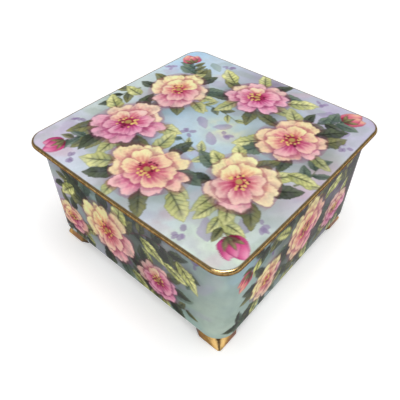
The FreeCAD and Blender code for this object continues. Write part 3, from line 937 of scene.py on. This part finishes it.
def make_body():
    """Box body from the floor of its cavity, over the rim and down the painted walls to its underside."""
    shell = Shell()
    tall = RIM - UNDERSIDE

    def lean(z):
        return TAPER * (RIM - z) / tall
    inner = -WALL - lean(FLOOR + CAVITY_ROUND)
    border, _ = shell.patch(body_side(inner - CAVITY_ROUND), WALL_COARSE, lambda t: FLOOR + 0 * t)
    rings = [border]
    for angle in np.linspace(0, QUARTER, CAVITY_RINGS)[1:]:
        rings.append(shell.ring(body_side(inner - CAVITY_ROUND * (1 - math.sin(angle))), WALL_COARSE,
                                FLOOR + CAVITY_ROUND * (1 - math.cos(angle))))
    bare_from = shell.total
    for angle in np.linspace(0, QUARTER, RIM_RINGS):
        rings.append(shell.ring(body_side(-WALL + RIM_ROUND * (1 - math.cos(angle))), WALL_COARSE,
                                RIM - RIM_ROUND * (1 - math.sin(angle))))
    painted_from = shell.total
    for angle in np.linspace(QUARTER, 0, RIM_RINGS):
        rings.append(shell.ring(body_side(-RIM_ROUND * (1 - math.cos(angle))), WALL_FINE,
                                RIM - RIM_ROUND * (1 - math.sin(angle))))
    knee = UNDERSIDE + BASE_ROUND
    for z in np.linspace(RIM - RIM_ROUND, knee, WALL_RINGS)[1:]:
        rings.append(shell.ring(body_side(-lean(z)), WALL_FINE, z))
    for angle in np.linspace(0, QUARTER, BASE_RINGS)[1:]:
        rings.append(shell.ring(body_side(-lean(knee) - BASE_ROUND * (1 - math.cos(angle))), WALL_FINE,
                                knee - BASE_ROUND * math.sin(angle)))
    painted_to = shell.total
    under, _ = shell.patch(body_side(-lean(knee) - BASE_ROUND - BASE_MARGIN), WALL_COARSE,
                           lambda t: UNDERSIDE + 0 * t, upward=False)
    shell.chain(rings + [under])
    made = shell.mesh("box_porcelain")
    places = shell.places()
    colours = np.tile(WHITE_GLAZE, (shell.total, 1))
    side = 2 * (BODY_HALF - BODY_CORNER) + BODY_CORNER * QUARTER
    count = (painted_to - painted_from) // (4 * WALL_FINE)
    across = np.tile(np.arange(4 * WALL_FINE) * side / WALL_FINE, count)
    walls = slice(painted_from, painted_to)
    canvas = Canvas(across, places[walls, 2], places[walls], WALL_GROUND, 4 * side)
    paint_walls(canvas, side)
    colours[walls] = canvas.colour
    store_paint(made, colours, slice(bare_from, painted_from))
    return made


def rounded_corner(before, at, after, radius, steps):
    """Points of an arc that rounds one corner of a loop."""
    one, two = before - at, after - at
    one, two = one / np.linalg.norm(one), two / np.linalg.norm(two)
    half = math.acos(np.clip(one @ two, -1, 1)) / 2
    centre = at + (one + two) / np.linalg.norm(one + two) * radius / math.sin(half)
    first, last = at + one * radius / math.tan(half) - centre, at + two * radius / math.tan(half) - centre
    start = math.atan2(first[1], first[0])
    sweep = math.atan2(last[1], last[0]) - start
    sweep = (sweep + math.pi) % TURN - math.pi
    angles = start + sweep * np.linspace(0, 1, steps)
    return np.column_stack([centre[0] + radius * np.cos(angles), centre[1] + radius * np.sin(angles)])


def foot_loop(corner_radius, outset):
    """Plan of a bracket foot: outer corner at the origin, legs along +X and +Y, creases softened."""
    leg = [(FOOT_FACE, -outset, FOOT_CREASE), (FOOT_LENGTH, FOOT_END_SET, FOOT_CREASE),
           (FOOT_LENGTH, FOOT_WALL, FOOT_END_ROUND)]
    other = [(y, x, radius) for x, y, radius in reversed(leg)]
    loop = [(-outset, -outset, corner_radius)] + leg + [(FOOT_WALL, FOOT_WALL, FOOT_INNER_ROUND)] + other
    spots = [np.array(spot[:2], float) for spot in loop]
    arcs = []
    for k, spot in enumerate(loop):
        steps = CORNER_STEPS if k else RIDGE_STEPS
        arcs.append(rounded_corner(spots[k - 1], spots[k], spots[(k + 1) % len(spots)], spot[2], steps))
    points = []
    for arc, following in zip(arcs, arcs[1:] + arcs[:1]):
        points.append(arc)
        points.append(arc[-1] + (following[0] - arc[-1]) * np.linspace(0, 1, LEG_STEPS)[1:-1, None])
    return np.concatenate(points)


def underside_height(x, y):
    """Height of the rounded underside of the box above a place."""
    half = BODY_HALF - TAPER
    radius = BODY_CORNER - TAPER
    qx, qy = np.abs(x) - (half - radius), np.abs(y) - (half - radius)
    out = np.hypot(np.maximum(qx, 0), np.maximum(qy, 0)) + np.minimum(np.maximum(qx, qy), 0) - radius
    away = np.clip(BASE_ROUND + out, 0, BASE_ROUND)
    return UNDERSIDE + BASE_ROUND - np.sqrt(np.maximum(BASE_ROUND ** 2 - away ** 2, 0))


def make_foot(name, turns):
    """Bracket foot under one corner, from its sole up to the rounded underside, with painted shade on its
    ridge and leg ends and a painted highlight on its faces.
    """
    corner = FOOT_CORNER - FOOT_SPLAY
    raised = UNDERSIDE + BASE_ROUND / 2
    knee = UNDERSIDE - FOOT_KNEE_DROP
    levels = [(z, FOOT_SPLAY - share * FOOT_SOLE_EASE) for z, share in FOOT_SOLE_LEVELS]
    levels += [(z, FOOT_SPLAY * (knee - z) / knee) for z in np.linspace(FOOT_SOLE_EASE, knee, FOOT_RINGS)]
    levels += [(z, 0.0) for z in np.linspace(knee, raised, FOOT_SEAT_RINGS)[1:]]
    loops = []
    for z, outset in levels:
        share = np.clip((z - FOOT_SOLE_EASE) / (knee - FOOT_SOLE_EASE), 0, 1)
        radius = FOOT_TIP_RADIUS + (FOOT_TOP_RADIUS - FOOT_TIP_RADIUS) * share
        plan = corner - foot_loop(radius, outset)
        ceiling = np.minimum(underside_height(plan[:, 0], plan[:, 1]) + FOOT_SINK, raised)
        lift = max(z - knee, 0.0) / (raised - knee)
        loops.append(np.column_stack([plan, min(z, knee) + lift * (ceiling - knee)]))
    shell = Shell()
    rings = []
    for loop in reversed(loops):
        x, y = turned(loop[:, 0], loop[:, 1], turns)
        rings.append(shell.add(x, y, loop[:, 2]))
    shell.chain(rings)
    shell.faces.append(list(rings[0]))
    shell.faces.append(list(reversed(rings[-1])))
    made = shell.mesh(name, FOOT_CREASE_ANGLE)
    plan, height = np.split(np.concatenate(loops[::-1]), [2], axis=1)
    height = height[:, 0]
    along = np.abs(corner - plan).max(1)
    aside = np.abs(plan[:, 0] - plan[:, 1])
    # painted shade down the corner ridge
    ridge = np.exp(-(aside / (0.3 + 0.22 * height)) ** 2)
    # painted shade towards and on the leg ends
    leg_end = 0.2 * smooth(0.5, 1.0, along / FOOT_FACE) + 0.65 * smooth(1.0, 1.15, along / FOOT_FACE)
    # darker towards the sole
    sole = SOLE_DARKENING * np.exp(-height / SOLE_DARKENING_HEIGHT)
    value_points(made, "WearAndShade", np.clip(RIDGE_PAINTED_SHADE * ridge + leg_end + sole, 0, 1))
    # painted highlight on the faces beside the ridge
    facing = np.exp(-((aside - FACE_HIGHLIGHT_PLACE) / FACE_HIGHLIGHT_WIDTH) ** 2)
    value_points(made, "PaintedHighlight", FACE_PAINTED_HIGHLIGHT * facing)
    return made


porcelain = painted_porcelain()
# the edge gold's dull tone is darker than the feet's: painted shade for the dim surroundings its edge
# reflects
edge_gold = gilding("gilding_edge", tone(228, 196, 138), tone(120, 90, 42), tone(66, 46, 18), 0.2)
foot_gold = gilding("gilding_feet", tone(230, 190, 120), tone(156, 118, 58), tone(72, 52, 22), 0.5)

pieces = [(make_lid(), "lid_unit", "lid", porcelain, "painted_porcelain"),
          (make_band(), "lid_unit", "lid_gilt_band", edge_gold, "gilding"),
          (make_body(), "base", "box_body", porcelain, "painted_porcelain")]
for turns, place in enumerate(("back_right", "back_left", "front_left", "front_right")):
    pieces.append((make_foot("gilt_foot_" + place, turns), "base", "foot_" + place, foot_gold, "gilding"))
for piece, body, node, material, slot in pieces:
    piece.data.materials.append(material)
    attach(piece, body)
    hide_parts(node)


# Stage, light and camera

FLOOR_HALF = 2.5
FLOOR_GREY = 0.86
FILL = 0.30
CEILING = 0.2
LAMP_AIM = (0, 0, 0.03)
CAMERA_PLACE = (0.1150, -0.1371, 0.1973)
CAMERA_AZIMUTH = math.radians(41.13)
CAMERA_ELEVATION = math.radians(44.70)
FOCAL_PIXELS = 443.9
IMAGE_PIXELS = 400
SENSOR = 36.0


def seen_rays(n, *kinds):
    """One for rays of these kinds, and nought for the rest."""
    path = n.add("ShaderNodeLightPath")
    total = path.outputs[kinds[0]]
    for name in kinds[1:]:
        total = n.join("MAXIMUM", total, path.outputs[name])
    return total


def make_floor():
    """Pale floor that keeps the shadow near the object and fades to white far from it."""
    mesh = bpy.data.meshes.new("studio_floor")
    h = FLOOR_HALF
    mesh.from_pydata([(-h, -h, 0), (h, -h, 0), (h, h, 0), (-h, h, 0)], [], [(0, 1, 2, 3)])
    made = new_object("studio_floor", mesh)
    n = Nodes("studio_floor")
    n.feed("Base Color", (FLOOR_GREY, FLOOR_GREY, FLOOR_GREY, 1))
    n.feed("Roughness", 1.0)
    n.feed("Specular IOR Level", 0.0)
    n.feed("Emission Color", (1, 1, 1, 1))
    place = n.add("ShaderNodeTexCoord")
    far = n.add("ShaderNodeVectorMath", operation="LENGTH")
    n.link(place.outputs["Object"], far.inputs[0])
    seen = seen_rays(n, "Is Camera Ray", "Is Glossy Ray", "Is Transmission Ray")
    glow = n.join("MULTIPLY", n.spread(far.outputs["Value"], 0.32, 0.9, 0.3, 1.5), seen)
    n.feed("Emission Strength", glow)
    made.data.materials.append(n.material)


class WorldNodes(Nodes):
    """The same short way for the world."""

    def __init__(self):
        world = bpy.data.worlds.new("studio")
        bpy.context.scene.world = world
        world.use_nodes = True
        self.tree = world.node_tree
        self.shader = self.tree.nodes["Background"]


def make_world():
    """Even fill for diffuse light, a white backdrop, and in gloss a white horizon under a dim ceiling."""
    n = WorldNodes()
    place = n.add("ShaderNodeTexCoord")
    split = n.add("ShaderNodeSeparateXYZ")
    n.link(place.outputs["Generated"], split.inputs[0])
    ceiling = n.spread(split.outputs["Z"], 1.0, CEILING, 0.0, 0.10)
    lit = n.blend("FLOAT", seen_rays(n, "Is Glossy Ray", "Is Transmission Ray"), FILL, ceiling)
    n.feed("Strength", n.blend("FLOAT", seen_rays(n, "Is Camera Ray"), lit, 1.0))
    n.feed("Color", (1, 1, 1, 1))


def stand(made, across, above, back, place):
    """Put a lamp or camera at a place, with its own axes along these directions."""
    rows = [[across[k], above[k], back[k], place[k]] for k in range(3)]
    made.matrix_world = Matrix(rows + [[0, 0, 0, 1]])


def make_lamp(name, place, size, power, mirrored=True):
    """Soft rectangular lamp aimed at the box; one that is not mirrored only lights."""
    data = bpy.data.lights.new(name, "AREA")
    data.shape = "RECTANGLE"
    data.size, data.size_y = size
    data.energy = power
    lamp = new_object(name, data)
    back = np.array(place, float) - np.array(LAMP_AIM, float)
    back /= np.linalg.norm(back)
    right = np.cross((0, 0, 1), back)
    right /= np.linalg.norm(right)
    stand(lamp, right, np.cross(back, right), back, place)
    lamp.visible_glossy = mirrored


def make_camera():
    """Camera at the photograph's place and angle."""
    data = bpy.data.cameras.new("camera")
    data.sensor_width = SENSOR
    data.lens = FOCAL_PIXELS * SENSOR / IMAGE_PIXELS
    data.clip_start, data.clip_end = 0.01, 20
    camera = new_object("camera", data)
    a, e = CAMERA_AZIMUTH, CAMERA_ELEVATION
    back = np.array([math.sin(a) * math.cos(e), -math.cos(a) * math.cos(e), math.sin(e)])
    right = np.array([math.cos(a), math.sin(a), 0])
    stand(camera, right, np.cross(back, right), back, CAMERA_PLACE)
    bpy.context.scene.camera = camera


make_floor()
make_world()
make_lamp("overhead", (0.3, -0.1, 1.98), (1.2, 1.2), 23.5)
make_lamp("front", (0.4, -1.4, 0.85), (1.3, 1.3), 5.0)
make_lamp("window", (0.85, 1.24, 0.12), (0.6, 0.4), 4.0, mirrored=False)
make_camera()
bpy.context.scene.view_settings.view_transform = "Standard"
